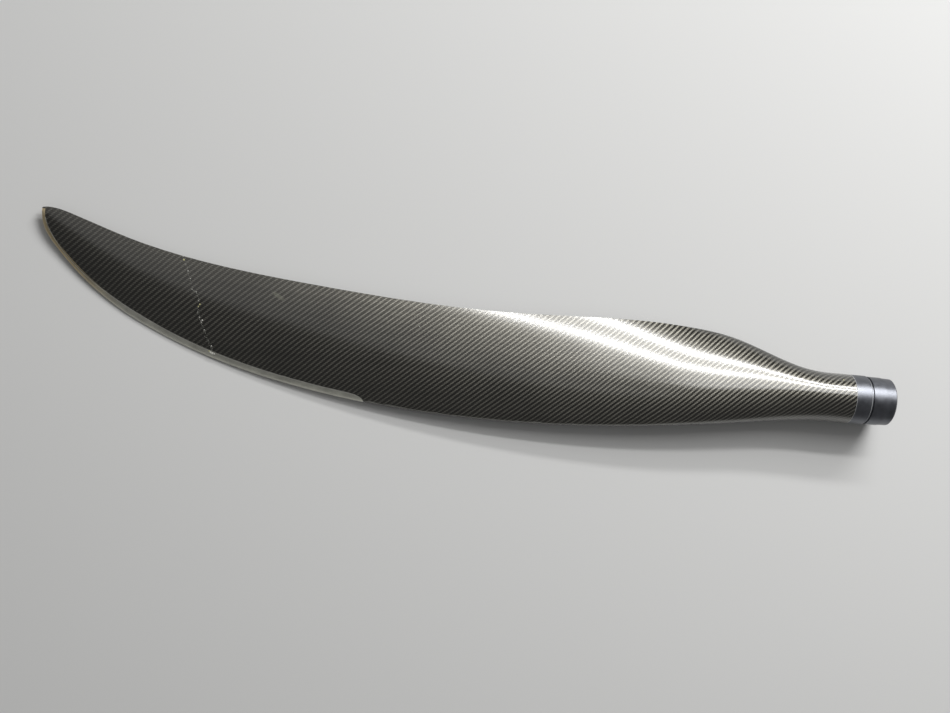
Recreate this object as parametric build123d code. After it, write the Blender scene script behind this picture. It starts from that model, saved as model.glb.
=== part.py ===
from build123d import *
from math import atan, cos, degrees, pi, radians, sin, sqrt
import os

os.makedirs("parts", exist_ok=True)

# Propeller blade with a swept, scimitar tip: a moulded body of carbon cloth in resin, a
# bare metal guard let in flush along its leading edge, and a turned aluminium ferrule at
# its root. Sizes are in mm. The pitch axis is X, with the middle of the ferrule's butt
# face at the origin and the tip towards -X. The leading edge faces -Y and the cambered
# side faces up, as the blade lies on a floor.

# Ferrule, from the butt face towards the tip
BAND_RADIUS = 25.4
COLLAR_RADIUS = 24.8
BUTT_RADIUS = 24.1
COLLAR_STEP = 0.35
BUTT_LENGTH = 12.0
COLLAR_LENGTH = 13.2
GROOVE_WIDTH = 2.0
GROOVE_DEPTH = 1.8
BAND_LENGTH = 17.4
BUTT_CHAMFER = 1.2
BAND_CHAMFER = 0.9
LIP_CHAMFER = 0.35
SPIGOT_RADIUS = 17.0
SPIGOT_LENGTH = 62.0
SPIGOT_CHAMFER = 3.0

# Stations along the blade, measured from the butt face
SHANK_ROUND_TO = 64.0
SWELL_AT = 150.0
SHOULDER_AT = 245.0
MIDDLE_AT = 400.0
SWEEP_AT = 600.0
HOOK_AT = 750.0
CURL_AT = 800.0
NOSE_AT = 850.0
BLADE_LENGTH = 862.3

# Leading edge, ahead of the pitch axis (behind it where negative)
LEAD_SWELL = 33.0
LEAD_SHOULDER = 44.6
LEAD_MIDDLE = 52.9
LEAD_SWEEP = 37.2
LEAD_HOOK = -6.8
LEAD_CURL = -35.0
LEAD_NOSE = -82.0

# Trailing edge, behind the pitch axis
TRAIL_SWELL = 48.9
TRAIL_SHOULDER = 61.7
TRAIL_MIDDLE = 56.6
TRAIL_SWEEP = 65.2
TRAIL_HOOK = 85.3
TRAIL_CURL = 99.2
TRAIL_NOSE = 114.9
TRAIL_TIP = 115.3
TIP_ROUND = 2.0

# Greatest thickness of the section at each station
THICK_SWELL = 39.0
THICK_SHOULDER = 23.0
THICK_MIDDLE = 13.6
THICK_SWEEP = 9.2
THICK_HOOK = 6.0
THICK_TIP = 1.7
TRAILING_THICKNESS = 1.0
CAMBER_RATIO = 0.045

# The pitch follows a true helix outboard, eased off towards the root
PITCH_ADVANCE = 1000.0
HUB_RADIUS = 40.0
ROOT_PITCH = 31.0
PITCH_EASE = 8
REST_ROLL = 17.0

# Outer ply, as deep as the rebate of the guard and as the crack
PLY_DEPTH = 0.5

# Leading edge guard
GUARD_START = 545.0
GUARD_WIDTH = 6.3
GUARD_TIP_WIDTH = 3.0
GUARD_TAPER = 90.0
GUARD_END_ROUND = 16.0

# Crack across the cambered side, from the trailing edge to the guard: distance from the
# butt face, then distance behind the pitch axis
CRACK_WIDTH = 0.9
CRACK_PATH = [
    (731.0, 84.0), (724.0, 68.0), (720.5, 59.5), (718.5, 50.0), (713.0, 46.5),
    (711.0, 39.0), (711.0, 28.0), (705.5, 16.0), (700.5, 3.0), (696.0, -3.5),
    (694.5, -10.5),
]

# Fineness of the formula-driven curves
SECTION_STEPS = 8
STATION_COUNT = 26
ROOT_GRADE = 1.3
TIP_GRADE = 1.7
CORNER_STEPS = 5
CORE_LEAD = 26.0
HALVINGS = 32
TIP_CUT = 0.15
MARGIN = 20.0

JOINT_AT = BUTT_LENGTH + COLLAR_LENGTH + GROOVE_WIDTH + BAND_LENGTH


def planform_lines():
    leading = Wire([
        Line((0, -BAND_RADIUS), (SHANK_ROUND_TO, -BAND_RADIUS)),
        Spline(
            (SHANK_ROUND_TO, -BAND_RADIUS),
            (SWELL_AT, -LEAD_SWELL),
            (SHOULDER_AT, -LEAD_SHOULDER),
            (MIDDLE_AT, -LEAD_MIDDLE),
            (SWEEP_AT, -LEAD_SWEEP),
            (HOOK_AT, -LEAD_HOOK),
            (CURL_AT, -LEAD_CURL),
            (NOSE_AT, -LEAD_NOSE),
            (BLADE_LENGTH, TRAIL_TIP - TIP_ROUND),
            tangents=[(1, 0), (0, 1)],
        ),
    ])
    trailing = Wire([
        Line((0, BAND_RADIUS), (SHANK_ROUND_TO, BAND_RADIUS)),
        Spline(
            (SHANK_ROUND_TO, BAND_RADIUS),
            (SWELL_AT, TRAIL_SWELL),
            (SHOULDER_AT, TRAIL_SHOULDER),
            (MIDDLE_AT, TRAIL_MIDDLE),
            (SWEEP_AT, TRAIL_SWEEP),
            (HOOK_AT, TRAIL_HOOK),
            (CURL_AT, TRAIL_CURL),
            (NOSE_AT, TRAIL_NOSE),
            (BLADE_LENGTH - TIP_ROUND, TRAIL_TIP),
            tangents=[(1, 0), (1, 0)],
        ),
        RadiusArc(
            (BLADE_LENGTH - TIP_ROUND, TRAIL_TIP),
            (BLADE_LENGTH, TRAIL_TIP - TIP_ROUND),
            TIP_ROUND,
        ),
    ])
    return leading, trailing


def thickness_line():
    return Wire([
        Line((0, 2 * BAND_RADIUS), (SHANK_ROUND_TO, 2 * BAND_RADIUS)),
        Spline(
            (SHANK_ROUND_TO, 2 * BAND_RADIUS),
            (SWELL_AT, THICK_SWELL),
            (SHOULDER_AT, THICK_SHOULDER),
            (MIDDLE_AT, THICK_MIDDLE),
            (SWEEP_AT, THICK_SWEEP),
            (HOOK_AT, THICK_HOOK),
            (BLADE_LENGTH, THICK_TIP),
            tangents=[(1, 0), (1, (THICK_TIP - THICK_HOOK) / (BLADE_LENGTH - HOOK_AT))],
        ),
    ])


LEADING, TRAILING = planform_lines()
THICKNESS = thickness_line()


def place_on(line, reach):
    # share of the line's length at which it is this far from the butt face
    low, high = 0.0, 1.0
    for _ in range(HALVINGS):
        middle = (low + high) / 2
        if (line @ middle).X < reach:
            low = middle
        else:
            high = middle
    return low


def offset_at(line, reach):
    return (line @ place_on(line, reach)).Y


def pitch_at(reach):
    helix = degrees(atan(PITCH_ADVANCE / (2 * pi * (reach + HUB_RADIUS))))
    return (helix**-PITCH_EASE + ROOT_PITCH**-PITCH_EASE) ** (-1 / PITCH_EASE)


def roundness_at(reach):
    # 1 on the round shank, easing to 0 where the section is a full aerofoil
    along = (reach - SHANK_ROUND_TO) / (SHOULDER_AT - SHANK_ROUND_TO)
    along = min(1, max(0, along))
    return (1 + cos(pi * along)) / 2


def in_space(reach, behind, above):
    # a point of the section: behind the pitch axis and above the chord line
    lean = radians(pitch_at(reach) - REST_ROLL)
    return Vector(
        -reach,
        behind * cos(lean) + above * sin(lean),
        above * cos(lean) - behind * sin(lean),
    )


def half_thickness(share, roundness, thick):
    # circle and four-digit aerofoil, each with a greatest half thickness of thick / 2
    circle = sqrt(share * (1 - share))
    foil = 5 * (
        0.2969 * sqrt(share) - 0.1260 * share - 0.3516 * share**2
        + 0.2843 * share**3 - 0.1036 * share**4
    )
    blunt = TRAILING_THICKNESS / 2
    full = thick * (roundness * circle + (1 - roundness) * foil)
    return max(full + (1 - roundness) * blunt * share, blunt * share)


def section(reach, inset=0.0):
    # outline of the blade square to the pitch axis, drawn in by the inset
    front = offset_at(LEADING, reach) + inset
    back = offset_at(TRAILING, reach) - inset
    chord = back - front
    thick = min(offset_at(THICKNESS, reach) - 2 * inset, chord)
    roundness = roundness_at(reach)

    def surface(angle, side):
        share = (1 - cos(angle)) / 2
        camber = 4 * (1 - roundness) * CAMBER_RATIO * share * (1 - share) * chord
        above = camber + side * half_thickness(share, roundness, thick)
        return in_space(reach, front + share * chord, above)

    angles = [pi * step / SECTION_STEPS for step in range(SECTION_STEPS + 1)]
    upper = [surface(angle, 1) for angle in angles]
    lower = [surface(angle, -1) for angle in angles]
    return Wire([Spline(upper), Line(upper[-1], lower[-1]), Spline(lower[::-1])])


def stations(start, end):
    # closer together where the shank begins to swell, and again towards the tip
    span = end - start
    share_of_blade = span / (BLADE_LENGTH - JOINT_AT)
    count = round(STATION_COUNT * share_of_blade ** (1 / TIP_GRADE))
    graded = [(step / count) ** ROOT_GRADE for step in range(count)]
    return [start + span * (1 - (1 - share) ** TIP_GRADE) for share in graded]


def blade_form(start, inset=0.0):
    end = BLADE_LENGTH - inset
    reaches = stations(start, end) + [end - TIP_CUT]
    return Solid.make_loft([section(reach, inset) for reach in reaches])


def guard_width_at(reach):
    # narrowed towards the tip and rounded off at the inboard end
    narrowed = min(1, (BLADE_LENGTH - reach) / GUARD_TAPER)
    width = GUARD_TIP_WIDTH + (GUARD_WIDTH - GUARD_TIP_WIDTH) * narrowed
    into = min(1, max(0, (reach - GUARD_START) / GUARD_END_ROUND))
    return width * sqrt(1 - (1 - into) ** 2)


def in_plan(point):
    # plan of a point given by its distances from the butt face and the pitch axis
    seen = in_space(point.X, point.Y, 0)
    return Vector(seen.X, seen.Y)


def prism(outline, low=-2 * BAND_RADIUS, high=2 * BAND_RADIUS):
    return extrude(Pos(0, 0, low) * Face(outline), high - low, dir=(0, 0, 1))


def guard_zone():
    # plan of the guard, from well ahead of the leading edge to the guard's rear edge
    full_at = GUARD_START + GUARD_END_ROUND
    reaches = [
        GUARD_START + GUARD_END_ROUND * (step / CORNER_STEPS) ** 2
        for step in range(CORNER_STEPS)
    ]
    reaches += stations(full_at, BLADE_LENGTH) + [BLADE_LENGTH]
    rear, ahead = [], []
    for reach in reaches:
        place = place_on(LEADING, reach)
        edge, along = LEADING @ place, LEADING % place
        square = Vector(-along.Y, along.X)
        rear.append(in_plan(edge + square * guard_width_at(reach)))
        ahead.append(in_plan(edge - square * MARGIN))
    past_tip = rear[-1] + Vector(-2 * MARGIN, 0)
    around = Polyline([rear[-1], past_tip] + ahead[::-1] + [rear[0]])
    return prism(Wire([Spline(rear), *around.edges()]))


def crack_zone():
    # plan of the crack: a strip that follows its jagged path
    points = [in_plan(Vector(*point)) for point in CRACK_PATH]
    aside = Vector(CRACK_WIDTH / 2, 0)
    strip = [point - aside for point in points] + [point + aside for point in points[::-1]]
    return prism(Wire(Polyline(strip, close=True)), low=0)


def ferrule_profile():
    butt_end = -BUTT_LENGTH
    collar_end = butt_end - COLLAR_LENGTH
    band_start = collar_end - GROOVE_WIDTH
    spigot_end = -JOINT_AT - SPIGOT_LENGTH
    return Polyline(
        (0, 0),
        (0, BUTT_RADIUS - BUTT_CHAMFER),
        (-BUTT_CHAMFER, BUTT_RADIUS),
        (butt_end, COLLAR_RADIUS - COLLAR_STEP),
        (butt_end, COLLAR_RADIUS),
        (collar_end, COLLAR_RADIUS),
        (collar_end, BAND_RADIUS - GROOVE_DEPTH),
        (band_start, BAND_RADIUS - GROOVE_DEPTH),
        (band_start, BAND_RADIUS - BAND_CHAMFER),
        (band_start - BAND_CHAMFER, BAND_RADIUS),
        (LIP_CHAMFER - JOINT_AT, BAND_RADIUS),
        (-JOINT_AT, BAND_RADIUS - LIP_CHAMFER),
        (-JOINT_AT, SPIGOT_RADIUS),
        (spigot_end + SPIGOT_CHAMFER, SPIGOT_RADIUS),
        (spigot_end, SPIGOT_RADIUS - SPIGOT_CHAMFER),
        (spigot_end, 0),
        close=True,
    )


ferrule = revolve(make_face(ferrule_profile()), Axis.X)
form = blade_form(JOINT_AT)
core = blade_form(GUARD_START - CORE_LEAD, PLY_DEPTH)
guard_skin = guard_zone() - core
crack_gap = crack_zone() - core
guard = form & guard_skin
body = form - guard_skin - crack_gap - ferrule

export_step(body, "parts/carbon_blade.step")
export_step(guard, "parts/edge_guard.step")
export_step(ferrule, "parts/root_ferrule.step")
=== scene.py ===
import math
import random

import bpy
import numpy as np
from mathutils import Euler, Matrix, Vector
from mathutils.bvhtree import BVHTree


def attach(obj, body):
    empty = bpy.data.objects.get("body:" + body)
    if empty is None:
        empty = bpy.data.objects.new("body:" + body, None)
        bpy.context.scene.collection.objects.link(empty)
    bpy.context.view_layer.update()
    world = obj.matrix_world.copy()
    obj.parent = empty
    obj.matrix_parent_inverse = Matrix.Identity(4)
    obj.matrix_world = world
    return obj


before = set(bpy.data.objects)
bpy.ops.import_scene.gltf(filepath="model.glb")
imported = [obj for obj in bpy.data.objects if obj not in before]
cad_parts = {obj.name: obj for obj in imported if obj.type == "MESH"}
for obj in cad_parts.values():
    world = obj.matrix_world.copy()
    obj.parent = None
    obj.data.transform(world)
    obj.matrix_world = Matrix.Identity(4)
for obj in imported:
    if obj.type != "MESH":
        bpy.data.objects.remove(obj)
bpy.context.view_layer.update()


# The blade lies on its face side on a plain pale floor. It rests on the round shank at one
# end and on the face side near the tip, so the floor leans two degrees to its axis.
FLOOR_PASSES = Vector((-0.088, 0.003, -0.0249))
FLOOR_NORMAL = Vector((0.0366, -0.0185, 0.9992))
FLOOR_HALF_SIZE = 20
FLOOR_COLOUR = (0.7, 0.7, 0.69, 1)

floor_corners = [
    (FLOOR_HALF_SIZE * way_x, FLOOR_HALF_SIZE * way_y, 0)
    for way_x, way_y in ((-1, -1), (1, -1), (1, 1), (-1, 1))
]
floor_mesh = bpy.data.meshes.new("floor")
floor_mesh.from_pydata(floor_corners, [], [(0, 1, 2, 3)])
floor = bpy.data.objects.new("floor", floor_mesh)
bpy.context.scene.collection.objects.link(floor)
floor.location = FLOOR_PASSES
floor.rotation_mode = "QUATERNION"
floor.rotation_quaternion = FLOOR_NORMAL.to_track_quat("Z", "Y")

floor_paint = bpy.data.materials.new("pale_floor")
floor_paint.use_nodes = True
floor_shader = floor_paint.node_tree.nodes["Principled BSDF"]
floor_shader.inputs["Base Color"].default_value = FLOOR_COLOUR
floor_shader.inputs["Roughness"].default_value = 0.9
floor_shader.inputs["Specular IOR Level"].default_value = 0.1
floor_mesh.materials.append(floor_paint)


# Camera nearly straight above the blade, a little nearer to the tip than to the butt, with
# the whole blade across the picture.
CAMERA_AT = (-0.61831, 0.01387, 1.28526)
CAMERA_TURN = (-0.917, -7.95, 5.178)
CAMERA_LENS = 49.263
SENSOR_WIDTH = 36.0

camera_lens = bpy.data.cameras.new("camera")
camera_lens.sensor_width = SENSOR_WIDTH
camera_lens.lens = CAMERA_LENS
camera = bpy.data.objects.new("camera", camera_lens)
camera.location = CAMERA_AT
camera.rotation_euler = [math.radians(angle) for angle in CAMERA_TURN]
bpy.context.scene.collection.objects.link(camera)
bpy.context.scene.camera = camera


# Light: a soft even room, two long strip lamps beside the blade on its trailing side, which
# draw the two bright lines along shank and shoulder, and two broad panels near them, one for
# the glare over the shoulder and a weak one for the outer blade.
LAMP_DISTANCE = 2.4
ROOM_STRENGTH = 0.16
# for each lamp: its angle from straight up, its ends along the blade, its width, its power
LAMPS = {
    "high_strip": (43.0, (-0.3, 1.5), 0.13, 23.0),
    "low_strip": (56.5, (-0.3, 1.5), 0.14, 25.0),
    "panel": (41.0, (0.24, 1.5), 1.7, 31.5),
    "far_panel": (30.0, (-1.3, 0.24), 2.4, 4.6),
}

for name, (angle, (left, right), width, watts) in LAMPS.items():
    lamp = bpy.data.lights.new(name, "AREA")
    lamp.shape = "RECTANGLE"
    lamp.size, lamp.size_y = right - left, width
    lamp.energy = watts
    shade = bpy.data.objects.new(name, lamp)
    turn = math.radians(angle)
    shade.location = (
        (left + right) / 2, LAMP_DISTANCE * math.sin(turn), LAMP_DISTANCE * math.cos(turn)
    )
    shade.rotation_euler = (-turn, 0, 0)
    bpy.context.scene.collection.objects.link(shade)

world = bpy.data.worlds.new("even_room")
world.use_nodes = True
world.node_tree.nodes["Background"].inputs["Color"].default_value = (1, 1, 1, 1)
world.node_tree.nodes["Background"].inputs["Strength"].default_value = ROOM_STRENGTH
bpy.context.scene.world = world

bpy.context.scene.view_settings.view_transform = "Standard"


# Form of the blade, as its makers' mould has it: a round shank that swells and flattens
# into a thin twisted aerofoil with a swept, hooked tip. The smooth skin made here isn't
# shown. It gives the moulded body, and what is laid on it, their true normals.
SHANK_ROUND_TO = 64.0
SHOULDER_AT = 245.0
BLADE_LENGTH = 862.3
JOINT_AT = 44.6
# each point in mm: its distance from the butt face, then the edge's offset or the thickness
LEADING_POINTS = [
    (64.0, -25.4), (150.0, -33.0), (245.0, -44.6), (400.0, -52.9), (600.0, -37.2),
    (750.0, 6.8), (800.0, 35.0), (850.0, 82.0), (862.3, 113.3),
]
TRAILING_POINTS = [
    (64.0, 25.4), (150.0, 48.9), (245.0, 61.7), (400.0, 56.6), (600.0, 65.2),
    (750.0, 85.3), (800.0, 99.2), (850.0, 114.9), (860.3, 115.3),
]
THICKNESS_POINTS = [
    (64.0, 50.8), (150.0, 39.0), (245.0, 23.0), (400.0, 13.6), (600.0, 9.2),
    (750.0, 6.0), (862.3, 1.7),
]
TIP_THINNING = -0.038
CAMBER_RATIO = 0.045
TRAILING_THICKNESS = 1.0
PITCH_ADVANCE = 1000.0
HUB_RADIUS = 40.0
ROOT_PITCH = 31.0
PITCH_EASE = 8
REST_ROLL = 17.0
CURVE_STEPS = 120


def curve_through(points, first, last):
    """Fine points of the smooth curve through points, with its end directions."""
    p = np.array(points, float)
    gaps = np.linalg.norm(np.diff(p, axis=0), axis=1)
    count = len(p)
    system, given = np.eye(count), np.zeros((count, 2))
    given[0] = np.array(first) / np.linalg.norm(first)
    given[-1] = np.array(last) / np.linalg.norm(last)
    for i in range(1, count - 1):
        before, after = gaps[i - 1], gaps[i]
        system[i, i - 1:i + 2] = after, 2 * (before + after), before
        rise = after * (p[i] - p[i - 1]) / before + before * (p[i + 1] - p[i]) / after
        given[i] = 3 * rise
    slopes = np.linalg.solve(system, given)
    fine = []
    for i, gap in enumerate(gaps):
        t = np.linspace(0, 1, CURVE_STEPS, endpoint=False)[:, None]
        fine.append(
            (2 * t**3 - 3 * t**2 + 1) * p[i] + (t**3 - 2 * t**2 + t) * gap * slopes[i]
            + (3 * t**2 - 2 * t**3) * p[i + 1] + (t**3 - t**2) * gap * slopes[i + 1]
        )
    return np.vstack([[(0.0, p[0, 1])], *fine, p[-1:]])


leading_line = curve_through(LEADING_POINTS, (1, 0), (0, 1))
trailing_line = curve_through(TRAILING_POINTS, (1, 0), (1, 0))
thickness_line = curve_through(THICKNESS_POINTS, (1, 0), (1, TIP_THINNING))


def offset_at(line, reach):
    return float(np.interp(reach, line[:, 0], line[:, 1]))


def lean_at(reach):
    helix = math.degrees(math.atan(PITCH_ADVANCE / (2 * math.pi * (reach + HUB_RADIUS))))
    pitch = (helix**-PITCH_EASE + ROOT_PITCH**-PITCH_EASE) ** (-1 / PITCH_EASE)
    return math.radians(pitch - REST_ROLL)


def in_space(reach, behind, above):
    """Place in metres of a point behind the pitch axis and above the chord line."""
    lean = lean_at(reach)
    return Vector((
        -reach,
        behind * math.cos(lean) + above * math.sin(lean),
        above * math.cos(lean) - behind * math.sin(lean),
    )) / 1000


def section(reach, steps):
    """Upper and lower points of the section, from the leading to the trailing edge."""
    front, back = offset_at(leading_line, reach), offset_at(trailing_line, reach)
    chord = back - front
    thick = min(offset_at(thickness_line, reach), chord)
    eased = min(1, max(0, (reach - SHANK_ROUND_TO) / (SHOULDER_AT - SHANK_ROUND_TO)))
    roundness = (1 + math.cos(math.pi * eased)) / 2
    sides = [[], []]
    for step in range(steps + 1):
        share = (1 - math.cos(math.pi * step / steps)) / 2
        # half thickness of a disc and of a four-digit aerofoil, both of thickness one
        circle = math.sqrt(share * (1 - share))
        foil = 5 * (
            0.2969 * math.sqrt(share) - 0.1260 * share - 0.3516 * share**2
            + 0.2843 * share**3 - 0.1036 * share**4
        )
        blunt = TRAILING_THICKNESS / 2 * share
        full = thick * (roundness * circle + (1 - roundness) * foil)
        half = max(full + (1 - roundness) * blunt, blunt)
        camber = 4 * (1 - roundness) * CAMBER_RATIO * share * (1 - share) * chord
        for side, sign in zip(sides, (1, -1)):
            side.append(in_space(reach, front + share * chord, camber + sign * half))
    return sides


SKIN_ROWS = 260
SKIN_STEPS = 44
SKIN_GRADE = 1.6
SKIN_TIP_CUT = 0.1

skin_points, skin_faces = [], []
around = 2 * SKIN_STEPS + 1
for row in range(SKIN_ROWS + 1):
    from_tip = (BLADE_LENGTH - JOINT_AT) * (1 - row / SKIN_ROWS) ** SKIN_GRADE
    reach = BLADE_LENGTH - SKIN_TIP_CUT - from_tip
    upper, lower = section(max(reach, JOINT_AT), SKIN_STEPS)
    skin_points += upper[::-1] + lower[1:]
    if row:
        for place in range(around - 1):
            first = (row - 1) * around + place
            skin_faces.append((first, first + around, first + around + 1, first + 1))
skin_mesh = bpy.data.meshes.new("true_skin")
skin_mesh.from_pydata(skin_points, [], skin_faces)
skin_mesh.shade_smooth()
true_skin = bpy.data.objects.new("true_skin", skin_mesh)
bpy.context.scene.collection.objects.link(true_skin)
true_skin.hide_render = True
true_skin.hide_viewport = True


# Carbon body: cloth of 1.5 mm tows in a two-over-two twill, laid with its tows along and
# across the blade and moulded in clear epoxy, whose glossy skin lies over the fibres.
# the tows along the blade are coloured lighter than those across it: a painted glint of the lamps
# beside the blade, laid on the real twill
TOW = 1.465
TOW_ALONG_GLINT_COLOUR = (0.14, 0.134, 0.114)
TOW_ACROSS_DIM_COLOUR = (0.042, 0.039, 0.031)
CLOTH_DRIFT = 5.0
ROOT_ROUND = 25.4
CLOTH_FLAT_FROM = 320.0
CLOTH_FLAT_DEPTH = 7.0
CLOTH_TIGHT_TO = 480.0
CLOTH_LOOSE_FROM = 760.0
TIGHT_ACROSS = 1.14
LOOSE_ACROSS = 0.95
SMEAR_AT = (636.4, 51.3, 3.0)
SMEAR_LINES = ((0.86, -0.51, 0.0), (0.51, 0.86, 0.0))
SMEAR_HALF_SIZE = (9.0, 2.6)
SMEAR_COLOUR = (0.26, 0.26, 0.2, 1)
SMEAR_STRENGTH = 0.35
SKIN_REACH = 0.001


class Graph:
    """Short names for the nodes of one material."""

    def __init__(self, name):
        self.material = bpy.data.materials.new(name)
        self.material.use_nodes = True
        self.tree = self.material.node_tree
        self.shader = self.tree.nodes["Principled BSDF"]

    def node(self, kind, inputs=(), **settings):
        made = self.tree.nodes.new(kind)
        for key, value in settings.items():
            setattr(made, key, value)
        for key, value in dict(inputs).items():
            self.feed(made.inputs[key], value)
        return made

    def feed(self, socket, value):
        if isinstance(value, bpy.types.NodeSocket):
            self.tree.links.new(value, socket)
        elif value is not None:
            socket.default_value = value

    def math(self, operation, first, second=None, third=None, clamp=False):
        made = self.tree.nodes.new("ShaderNodeMath")
        made.operation = operation
        made.use_clamp = clamp
        for socket, value in zip(made.inputs, (first, second, third)):
            self.feed(socket, value)
        return made.outputs[0]

    def ramp(self, value, low, high, to_low=0.0, to_high=1.0, smooth=False):
        made = self.node(
            "ShaderNodeMapRange",
            {"Value": value, "From Min": low, "From Max": high,
             "To Min": to_low, "To Max": to_high},
            interpolation_type="SMOOTHSTEP" if smooth else "LINEAR",
        )
        return made.outputs["Result"]

    def mix(self, share, first, second):
        made = self.tree.nodes.new("ShaderNodeMix")
        made.data_type = "RGBA"
        self.feed(made.inputs[0], share)
        self.feed(made.inputs[6], first)
        self.feed(made.inputs[7], second)
        return made.outputs[2]

    def noise(self, where, scale, detail=2.0, rough=0.5):
        made = self.node(
            "ShaderNodeTexNoise",
            {"Vector": where, "Scale": scale, "Detail": detail, "Roughness": rough},
        )
        return made.outputs["Fac"]

    def position_mm(self):
        place = self.node("ShaderNodeTexCoord").outputs["Object"]
        scaled = self.node("ShaderNodeVectorMath", {0: place, "Scale": 1000.0}, operation="SCALE")
        split = self.node("ShaderNodeSeparateXYZ", {0: scaled.outputs[0]})
        return scaled.outputs[0], split.outputs

    def vector(self, x, y, z=0.0):
        return self.node("ShaderNodeCombineXYZ", {0: x, 1: y, 2: z}).outputs[0]


def carbon_cloth():
    g = Graph("carbon_cloth")
    where, (x, y, _) = g.position_mm()

    # cloth coordinates: along the blade, and round the shank or across the blade
    wander = g.node("ShaderNodeTexNoise", {"Vector": where, "Scale": 0.012, "Detail": 1.0})
    drift = g.node("ShaderNodeSeparateColor", {0: wander.outputs["Color"]})
    facing = g.node("ShaderNodeSeparateXYZ", {0: g.node("ShaderNodeTexCoord").outputs["Normal"]})
    turn = g.math("ARCTAN2", facing.outputs[1], g.math("ABSOLUTE", facing.outputs[2]))
    depth = g.ramp(
        x, -SHANK_ROUND_TO, -CLOTH_FLAT_FROM, ROOT_ROUND, CLOTH_FLAT_DEPTH, smooth=True
    )
    across = g.math("MULTIPLY_ADD", g.math("SUBTRACT", turn, g.math("SINE", turn)), depth, y)
    u = g.math("DIVIDE", g.math("MULTIPLY_ADD", drift.outputs[0], CLOTH_DRIFT, x), TOW)
    drawn_in = g.ramp(
        x, -CLOTH_LOOSE_FROM, -CLOTH_TIGHT_TO, LOOSE_ACROSS, TIGHT_ACROSS, smooth=True
    )
    across = g.math(
        "MULTIPLY", g.math("MULTIPLY_ADD", drift.outputs[1], CLOTH_DRIFT, across), drawn_in
    )
    v = g.math("DIVIDE", across, TOW)
    column, row = g.math("FLOOR", u), g.math("FLOOR", v)

    # two over, two under, stepping by one tow from row to row
    step_along = g.math("FLOORED_MODULO", g.math("SUBTRACT", u, row), 4.0)
    step_across = g.math("FLOORED_MODULO", g.math("SUBTRACT", v, column), 4.0)
    cell = g.math("FLOORED_MODULO", g.math("SUBTRACT", column, row), 4.0)
    along_on_top = g.math("LESS_THAN", cell, 1.5)

    def crown(value):
        off = g.math("SUBTRACT", g.math("FRACT", value), 0.5)
        return g.math("SUBTRACT", 1.0, g.math("MULTIPLY", g.math("MULTIPLY", off, off), 4.0))

    crown_along, crown_across = crown(v), crown(u)
    rise_along = g.math("SINE", g.math("MULTIPLY", step_along, math.pi / 2), clamp=True)
    rise_across = g.math(
        "SINE", g.math("MULTIPLY", g.math("SUBTRACT", step_across, 1.0), math.pi / 2), clamp=True
    )
    height_along = g.math("MULTIPLY", crown_along, rise_along)
    height_across = g.math("MULTIPLY", crown_across, rise_across)
    height = g.math(
        "ADD",
        g.math("MULTIPLY", height_along, along_on_top),
        g.math("MULTIPLY", height_across, g.math("SUBTRACT", 1.0, along_on_top)),
    )

    # fibres within a tow, and tows that are a little lighter or darker than others
    def fibres(along, aside):
        drawn = g.vector(g.math("MULTIPLY", u, along), g.math("MULTIPLY", v, aside))
        return g.noise(drawn, 1.0, 3.0)

    fine_along, fine_across = fibres(0.15, 9.0), fibres(9.0, 0.15)
    tow_tone = g.node("ShaderNodeTexWhiteNoise", {"W": row}, noise_dimensions="1D")
    tow_shade = tow_tone.outputs["Value"]
    strand = g.mix(along_on_top, fine_across, fine_along)
    shade = g.math(
        "MULTIPLY", g.ramp(strand, 0.25, 0.75, 0.7, 1.3), g.ramp(tow_shade, 0.0, 1.0, 0.88, 1.1)
    )
    # painted shade: darker where the tows dip under each other, a little lighter on their crowns
    painted_hollow_shade = g.ramp(height, 0.0, 0.5, 0.2, 1.15)
    shade = g.math("MULTIPLY", shade, painted_hollow_shade)
    patch = g.ramp(g.noise(where, 0.02, 3.0), 0.3, 0.7, 0.9, 1.12)
    shade = g.math("MULTIPLY", shade, patch)
    # painted glint: along tows take the lighter colour, across tows the darker one
    cloth = g.mix(along_on_top, (*TOW_ACROSS_DIM_COLOUR, 1), (*TOW_ALONG_GLINT_COLOUR, 1))
    shaded = g.node("ShaderNodeVectorMath", {0: cloth, "Scale": shade}, operation="SCALE")

    # a faint dried smear near the trailing edge, drawn out along one line
    smear_place = in_space(*SMEAR_AT) * 1000
    from_smear = g.node("ShaderNodeVectorMath", {0: where, 1: smear_place}, operation="SUBTRACT")
    spans = []
    for direction, half_size in zip(SMEAR_LINES, SMEAR_HALF_SIZE):
        run = g.node(
            "ShaderNodeVectorMath",
            {0: from_smear.outputs[0], 1: direction},
            operation="DOT_PRODUCT",
        )
        span = g.math("DIVIDE", run.outputs["Value"], half_size)
        spans.append(g.math("MULTIPLY", span, span))
    smear = g.ramp(g.math("ADD", *spans), 1.0, 0.1, 0.0, SMEAR_STRENGTH, smooth=True)
    smeared = g.mix(smear, shaded.outputs[0], SMEAR_COLOUR)
    g.feed(g.shader.inputs["Base Color"], smeared)

    # fibres glint across their own length
    glint = g.node("ShaderNodeMix", data_type="VECTOR")
    g.feed(glint.inputs[0], along_on_top)
    g.feed(glint.inputs[4], (1.0, 0.0, 0.0))
    g.feed(glint.inputs[5], (0.0, 1.0, 0.0))
    g.feed(g.shader.inputs["Tangent"], glint.outputs[1])
    relief = g.node("ShaderNodeBump", {"Height": height, "Strength": 0.25, "Distance": 0.0001})
    g.feed(g.shader.inputs["Normal"], relief.outputs[0])
    ripple = g.node(
        "ShaderNodeBump",
        {"Height": g.noise(where, 0.25, 2.0), "Strength": 0.12, "Distance": 0.0002},
    )
    g.feed(g.shader.inputs["Coat Normal"], ripple.outputs[0])
    for socket, value in {
        "Metallic": 1.0, "Roughness": 0.38, "Anisotropic": 0.8,
        "Coat Weight": 1.0, "Coat Roughness": 0.16, "Coat IOR": 1.65,
    }.items():
        g.shader.inputs[socket].default_value = value
    return g.material


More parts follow.
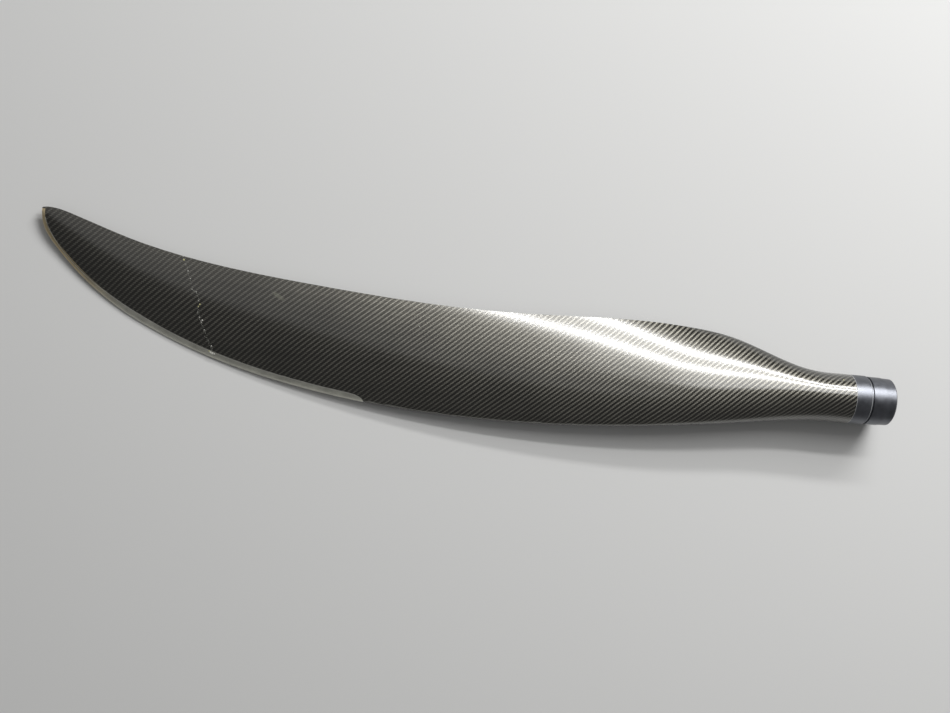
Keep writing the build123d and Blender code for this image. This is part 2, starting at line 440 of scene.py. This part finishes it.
carbon_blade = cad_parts["carbon_blade"]
carbon_material = carbon_cloth()
for place in carbon_blade.material_slots:
    place.material = carbon_material
smooth = carbon_blade.modifiers.new("true_normals", "DATA_TRANSFER")
smooth.object = true_skin
smooth.use_loop_data = True
smooth.data_types_loops = {"CUSTOM_NORMAL"}
smooth.loop_mapping = "POLYINTERP_NEAREST"
smooth.use_max_distance = True
smooth.max_distance = SKIN_REACH


# Guard: thin bare sheet metal, formed round the leading edge and bonded into a rebate,
# dull and warm grey from wear, with a yellower cast towards the tip.
GUARD_COLOUR = (0.68, 0.675, 0.6, 1)
GUARD_TIP_COLOUR = (0.6, 0.5, 0.32, 1)
YELLOW_FROM = 775.0
YELLOW_TO = 835.0


def guard_metal():
    g = Graph("worn_sheet_metal")
    where, (x, y, _) = g.position_mm()
    grain = g.noise(g.vector(g.math("MULTIPLY", x, 0.2), g.math("MULTIPLY", y, 3.0)), 1.0, 3.0)
    blotch = g.noise(where, 0.08, 4.0)
    yellowed = g.ramp(x, -YELLOW_FROM, -YELLOW_TO, smooth=True)
    metal = g.mix(yellowed, GUARD_COLOUR, GUARD_TIP_COLOUR)
    dark = g.math(
        "MULTIPLY", g.ramp(grain, 0.3, 0.7, 0.88, 1.08), g.ramp(blotch, 0.3, 0.7, 0.85, 1.1)
    )
    shaded = g.node("ShaderNodeVectorMath", {0: metal, "Scale": dark}, operation="SCALE")
    g.feed(g.shader.inputs["Base Color"], shaded.outputs[0])
    g.feed(g.shader.inputs["Roughness"], g.ramp(blotch, 0.3, 0.7, 0.36, 0.52))
    relief = g.node("ShaderNodeBump", {"Height": grain, "Strength": 0.15, "Distance": 0.00005})
    g.feed(g.shader.inputs["Normal"], relief.outputs[0])
    g.shader.inputs["Metallic"].default_value = 1.0
    return g.material


edge_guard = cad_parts["edge_guard"]
guard_material = guard_metal()
for place in edge_guard.material_slots:
    place.material = guard_material


# Edge of the guard: a strip of bright metal just inside its rear edge is a painted highlight,
# where the edge catches the light, and a thin near-black line runs between it and the cloth, on
# both sides.
GUARD_START = 545.0
GUARD_WIDTH = 6.3
GUARD_TIP_WIDTH = 3.0
GUARD_TAPER = 90.0
GUARD_END_ROUND = 16.0
GUARD_END_STEPS = 12
EDGE_STEP = 2.0
EDGE_STEPS = 149
LAST_REACHES = [859.5, 860.4, 861.2]
LINE_HEIGHT = 0.00005
# painted highlight: a bright metal strip along the guard's rear edge
GLINT_STRIP_COLOUR = (0.75, 0.74, 0.69)
GLINT_STRIP_INSET = 0.55
GLINT_STRIP_HALF_WIDTH = 0.0004
# a thin near-black line on the cloth along the guard's rear edge
DARK_LINE_COLOUR = (0.012, 0.012, 0.011)
DARK_LINE_OUTSET = 0.12
DARK_LINE_HALF_WIDTH = 0.00026
SLOPE_STEP = 0.25
CAST_FROM = 0.1

skin_tree = BVHTree.FromPolygons(skin_points, skin_faces)


def surface_of(*nodes):
    """Tree of the outer faces of CAD nodes, to lay small pieces on."""
    points, faces = [], []
    for node in nodes:
        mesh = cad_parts[node].data
        start = len(points)
        points += [vertex.co.copy() for vertex in mesh.vertices]
        faces += [[start + corner for corner in face.vertices] for face in mesh.polygons]
    return BVHTree.FromPolygons(points, faces)


surface_tree = surface_of("carbon_blade", "edge_guard")


def on_surface(reach, behind, side=1):
    """Place and normal on the cambered side (1) or the face side (-1)."""
    plan = in_space(reach, behind, 0)
    above = Vector((plan.x, plan.y, CAST_FROM * side))
    place = surface_tree.ray_cast(above, Vector((0, 0, -side)))[0]
    if place is None:
        place = surface_tree.find_nearest(plan)[0]
    normal = skin_tree.find_nearest(place)[1]
    return place, normal if normal.z * side > 0 else -normal


def guard_rear(reach, outwards):
    """Distances of the guard's rear edge from the butt face and behind the pitch axis."""
    narrowed = min(1, (BLADE_LENGTH - reach) / GUARD_TAPER)
    width = GUARD_TIP_WIDTH + (GUARD_WIDTH - GUARD_TIP_WIDTH) * narrowed
    into = min(1, max(0, (reach - GUARD_START) / GUARD_END_ROUND))
    width = width * math.sqrt(1 - (1 - into) ** 2) + outwards
    front = offset_at(leading_line, reach)
    before = offset_at(leading_line, reach - SLOPE_STEP)
    rise = offset_at(leading_line, reach + SLOPE_STEP) - before
    along = Vector((2 * SLOPE_STEP, rise)).normalized()
    return reach - along.y * width, front + along.x * width


def bead(name, places, half_width, height):
    """Low ridge of three-sided section along a row of places with their normals."""
    points, faces = [], []
    for i, (place, normal) in enumerate(places):
        along = places[min(i + 1, len(places) - 1)][0] - places[max(i - 1, 0)][0]
        aside = normal.cross(along).normalized() * half_width
        sunk = place - normal * height
        points += [sunk - aside, place + normal * height, sunk + aside]
        if i:
            low = 3 * i
            for a, b in ((0, 1), (1, 2), (2, 0)):
                faces.append((low - 3 + a, low - 3 + b, low + b, low + a))
    faces += [(2, 1, 0), (len(points) - 3, len(points) - 2, len(points) - 1)]
    mesh = bpy.data.meshes.new(name)
    mesh.from_pydata(points, [], faces)
    mesh.validate()
    piece = bpy.data.objects.new(name, mesh)
    bpy.context.scene.collection.objects.link(piece)
    return piece


def plain_finish(name, colour, metallic, low_rough, high_rough, scale=1.5):
    """Finish for small pieces, a little uneven in tone and gloss."""
    g = Graph(name)
    where = g.position_mm()[0]
    uneven = g.noise(where, scale, 3.0)
    tone = g.ramp(uneven, 0.3, 0.7, 0.8, 1.15)
    shaded = g.node("ShaderNodeVectorMath", {0: colour, "Scale": tone}, operation="SCALE")
    g.feed(g.shader.inputs["Base Color"], shaded.outputs[0])
    g.feed(g.shader.inputs["Roughness"], g.ramp(uneven, 0.3, 0.7, low_rough, high_rough))
    g.shader.inputs["Metallic"].default_value = metallic
    return g.material


painted_glint_finish = plain_finish(
    "painted_glint_metal", GLINT_STRIP_COLOUR, metallic=1.0, low_rough=0.3, high_rough=0.45
)
dark_line_finish = plain_finish(
    "dark_line_finish", DARK_LINE_COLOUR, metallic=0.0, low_rough=0.3, high_rough=0.5
)
edge_reaches = [
    GUARD_START + GUARD_END_ROUND * (step / GUARD_END_STEPS) ** 2
    for step in range(1, GUARD_END_STEPS)
]
edge_reaches += [
    GUARD_START + GUARD_END_ROUND + EDGE_STEP * step for step in range(EDGE_STEPS)
]
edge_reaches += LAST_REACHES
for side, side_name in ((1, "cambered"), (-1, "face")):
    for name, outwards, half_width, finish, slot in (
        ("painted_glint_edge", -GLINT_STRIP_INSET, GLINT_STRIP_HALF_WIDTH, painted_glint_finish, "guard"),
        ("dark_edge_line", DARK_LINE_OUTSET, DARK_LINE_HALF_WIDTH, dark_line_finish, "carbon"),
    ):
        row = [on_surface(*guard_rear(reach, outwards), side) for reach in edge_reaches]
        line = bead(f"{name}_{side_name}", row, half_width, LINE_HEIGHT)
        line.data.materials.append(finish)
        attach(line, "root")


# Crack: the outer ply has parted right across the cambered side. Frayed ends of glass and
# carbon stand up pale along both lips, with flecks of yellow and white filler in the break.
CRACK_HALF_WIDTH = 0.45
CRACK_PATH = [
    (731.0, 84.0), (724.0, 68.0), (720.5, 59.5), (718.5, 50.0), (713.0, 46.5),
    (711.0, 39.0), (711.0, 28.0), (705.5, 16.0), (700.5, 3.0), (696.0, -3.5),
    (694.5, -10.5),
]
FIBRE_COLOUR = (0.62, 0.62, 0.56)
SPLINTER_SHARE = 0.5
SPLINTER_SETBACK = 0.25
SPLINTER_TURN = 0.7
SPLINTER_HALF_LENGTH = (0.2, 0.8)
SPLINTER_HALF_WIDTH = (0.07, 0.18)
SPLINTER_HEIGHT = (0.08, 0.25)
SPLINTER_SUNK = 0.00005
SPLINTER_PEAK_SHIFT = 0.5
SPLINTER_SPACING = (0.5, 1.1)

crack_chance = random.Random(7)
splinter_points, splinter_faces = [], []
for (reach, behind), (next_reach, next_behind) in zip(CRACK_PATH, CRACK_PATH[1:]):
    run = math.hypot(next_reach - reach, next_behind - behind)
    at = 0.0
    while at < run:
        for lip in (-1, 1):
            if crack_chance.random() > SPLINTER_SHARE:
                continue
            share = at / run
            place, normal = on_surface(
                reach + (next_reach - reach) * share
                + lip * (CRACK_HALF_WIDTH + crack_chance.uniform(0.0, SPLINTER_SETBACK)),
                behind + (next_behind - behind) * share,
            )
            ahead = Vector((-(next_reach - reach), next_behind - behind, 0)).normalized()
            ahead.rotate(Euler((0, 0, crack_chance.uniform(-SPLINTER_TURN, SPLINTER_TURN))))
            ahead = (ahead - normal * ahead.dot(normal)).normalized()
            aside = normal.cross(ahead)
            half_length = crack_chance.uniform(*SPLINTER_HALF_LENGTH) / 1000
            half_width = crack_chance.uniform(*SPLINTER_HALF_WIDTH) / 1000
            height = crack_chance.uniform(*SPLINTER_HEIGHT) / 1000
            low = place - normal * SPLINTER_SUNK
            shift = crack_chance.uniform(-SPLINTER_PEAK_SHIFT, SPLINTER_PEAK_SHIFT)
            first = len(splinter_points)
            splinter_points += [
                low - ahead * half_length, low + aside * half_width,
                low + ahead * half_length, low - aside * half_width,
                low + normal * height + ahead * half_length * shift,
            ]
            for a, b in ((0, 3), (3, 2), (2, 1), (1, 0)):
                splinter_faces.append((first + a, first + b, first + 4))
            splinter_faces.append((first, first + 1, first + 2, first + 3))
        at += crack_chance.uniform(*SPLINTER_SPACING)
splinter_mesh = bpy.data.meshes.new("crack_splinters")
splinter_mesh.from_pydata(splinter_points, [], splinter_faces)
splinters = bpy.data.objects.new("crack_splinters", splinter_mesh)
bpy.context.scene.collection.objects.link(splinters)
frayed_fibre = plain_finish(
    "frayed_fibre", FIBRE_COLOUR, metallic=0.0, low_rough=0.5, high_rough=0.8
)
splinter_mesh.materials.append(frayed_fibre)
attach(splinters, "root")


# Chips: flecks of filler that sit in the crack and on the guard's rear edge where the crack
# meets it, one stuck to the shank near the ferrule and one past the middle of the blade.
# in mm for each fleck: from the butt face, behind the pitch axis, size
CHIPS = {
    "yellow": ((0.72, 0.68, 0.3), [
        (728.5, 77.5, 1.7), (709.6, 36.0, 1.5), (710.8, 33.8, 1.6), (57.3, 19.6, 1.4),
        (697.6, -8.2, 1.3),
    ]),
    "white": ((0.8, 0.79, 0.73), [
        (723.5, 67.2, 1.4), (720.6, 60.0, 1.2), (718.2, 49.9, 1.2), (714.2, 47.6, 1.1),
        (710.9, 39.6, 1.2), (710.7, 28.4, 1.1), (709.0, 23.5, 1.4), (706.2, 20.9, 1.7),
        (707.0, 18.9, 1.5), (703.4, 11.8, 1.0), (695.7, -3.1, 1.2), (696.4, -9.3, 1.9),
        (694.4, -10.2, 2.3), (692.4, -10.6, 1.6), (496.5, 34.3, 0.9),
    ]),
}
CHIP_CORNERS = 7
CHIP_UNEVENNESS = 0.3
CHIP_RADIUS = (0.35, 0.6)
CHIP_TOP = 0.8
CHIP_SUNK = 0.0001
CHIP_HEIGHT = 0.00015

for chip_name, (colour, flecks) in CHIPS.items():
    chip_points, chip_faces = [], []
    for reach, behind, size in flecks:
        place, normal = on_surface(reach, behind)
        turn = normal.to_track_quat("Z", "Y")
        first = len(chip_points)
        for corner in range(CHIP_CORNERS):
            shift = crack_chance.uniform(-CHIP_UNEVENNESS, CHIP_UNEVENNESS)
            angle = math.tau * (corner + shift) / CHIP_CORNERS
            radius = size * crack_chance.uniform(*CHIP_RADIUS) / 1000
            rim = Vector((math.cos(angle) * radius, math.sin(angle) * radius, 0))
            top = rim * CHIP_TOP + Vector((0, 0, CHIP_HEIGHT * size))
            chip_points.append(place + turn @ (rim - Vector((0, 0, CHIP_SUNK))))
            chip_points.append(place + turn @ top)
        for corner in range(CHIP_CORNERS):
            a, b = first + 2 * corner, first + 2 * ((corner + 1) % CHIP_CORNERS)
            chip_faces.append((a, b, b + 1, a + 1))
        chip_faces.append([first + 2 * corner + 1 for corner in range(CHIP_CORNERS)])
        chip_faces.append([first + 2 * corner for corner in reversed(range(CHIP_CORNERS))])
    chip_mesh = bpy.data.meshes.new(f"{chip_name}_filler")
    chip_mesh.from_pydata(chip_points, [], chip_faces)
    chip_mesh.materials.append(plain_finish(
        f"{chip_name}_filler", colour, metallic=0.0, low_rough=0.5, high_rough=0.8, scale=4.0
    ))
    chips = bpy.data.objects.new(f"{chip_name}_filler", chip_mesh)
    bpy.context.scene.collection.objects.link(chips)
    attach(chips, "root")


# Ferrule: aluminium bar, turned and anodised dark grey, with fine rings left by the tool, and
# bright lines on its lip and band chamfer that are painted highlights, where these edges catch
# the light.
ANODISED_COLOUR = (0.15, 0.156, 0.172)
EDGE_HIGHLIGHT_COLOUR = (0.62, 0.63, 0.64, 1)
# in mm for each painted highlight line: from the butt face, half width
LIP_LINE = (44.45, 0.35)
BAND_CHAMFER_LINE = (27.7, 0.55)
HIGHLIGHT_BEYOND_RADII = (23.7, 24.3)


def turned_aluminium():
    g = Graph("anodised_turned_aluminium")
    where, (x, y, z) = g.position_mm()
    rings = g.noise(g.vector(g.math("MULTIPLY", x, 5.0), 0.0), 1.0, 3.0)
    blotch = g.noise(where, 0.15, 4.0)
    tone = g.math(
        "MULTIPLY", g.ramp(rings, 0.3, 0.7, 0.85, 1.15), g.ramp(blotch, 0.3, 0.7, 0.85, 1.12)
    )
    radius = g.math("SQRT", g.math("ADD", g.math("MULTIPLY", y, y), g.math("MULTIPLY", z, z)))

    def line_at(place, half_width):
        off = g.math("ABSOLUTE", g.math("SUBTRACT", x, -place))
        return g.ramp(off, half_width, half_width * 0.5)

    # painted highlight: bright, less metallic lines on the lip and chamfer edges
    painted_edge_highlight = g.math("MAXIMUM", line_at(*LIP_LINE), line_at(*BAND_CHAMFER_LINE))
    painted_edge_highlight = g.math("MULTIPLY", painted_edge_highlight, g.ramp(radius, *HIGHLIGHT_BEYOND_RADII))
    shaded = g.node(
        "ShaderNodeVectorMath", {0: ANODISED_COLOUR, "Scale": tone}, operation="SCALE"
    )
    colour = g.mix(painted_edge_highlight, shaded.outputs[0], EDGE_HIGHLIGHT_COLOUR)
    g.feed(g.shader.inputs["Base Color"], colour)
    g.feed(g.shader.inputs["Roughness"], g.ramp(blotch, 0.3, 0.7, 0.33, 0.43))
    relief = g.node("ShaderNodeBump", {"Height": rings, "Strength": 0.25, "Distance": 0.00004})
    g.feed(g.shader.inputs["Normal"], relief.outputs[0])
    g.feed(g.shader.inputs["Metallic"], g.ramp(painted_edge_highlight, 0.0, 1.0, 1.0, 0.3))
    return g.material


root_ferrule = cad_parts["root_ferrule"]
ferrule_material = turned_aluminium()
for place in root_ferrule.material_slots:
    place.material = ferrule_material
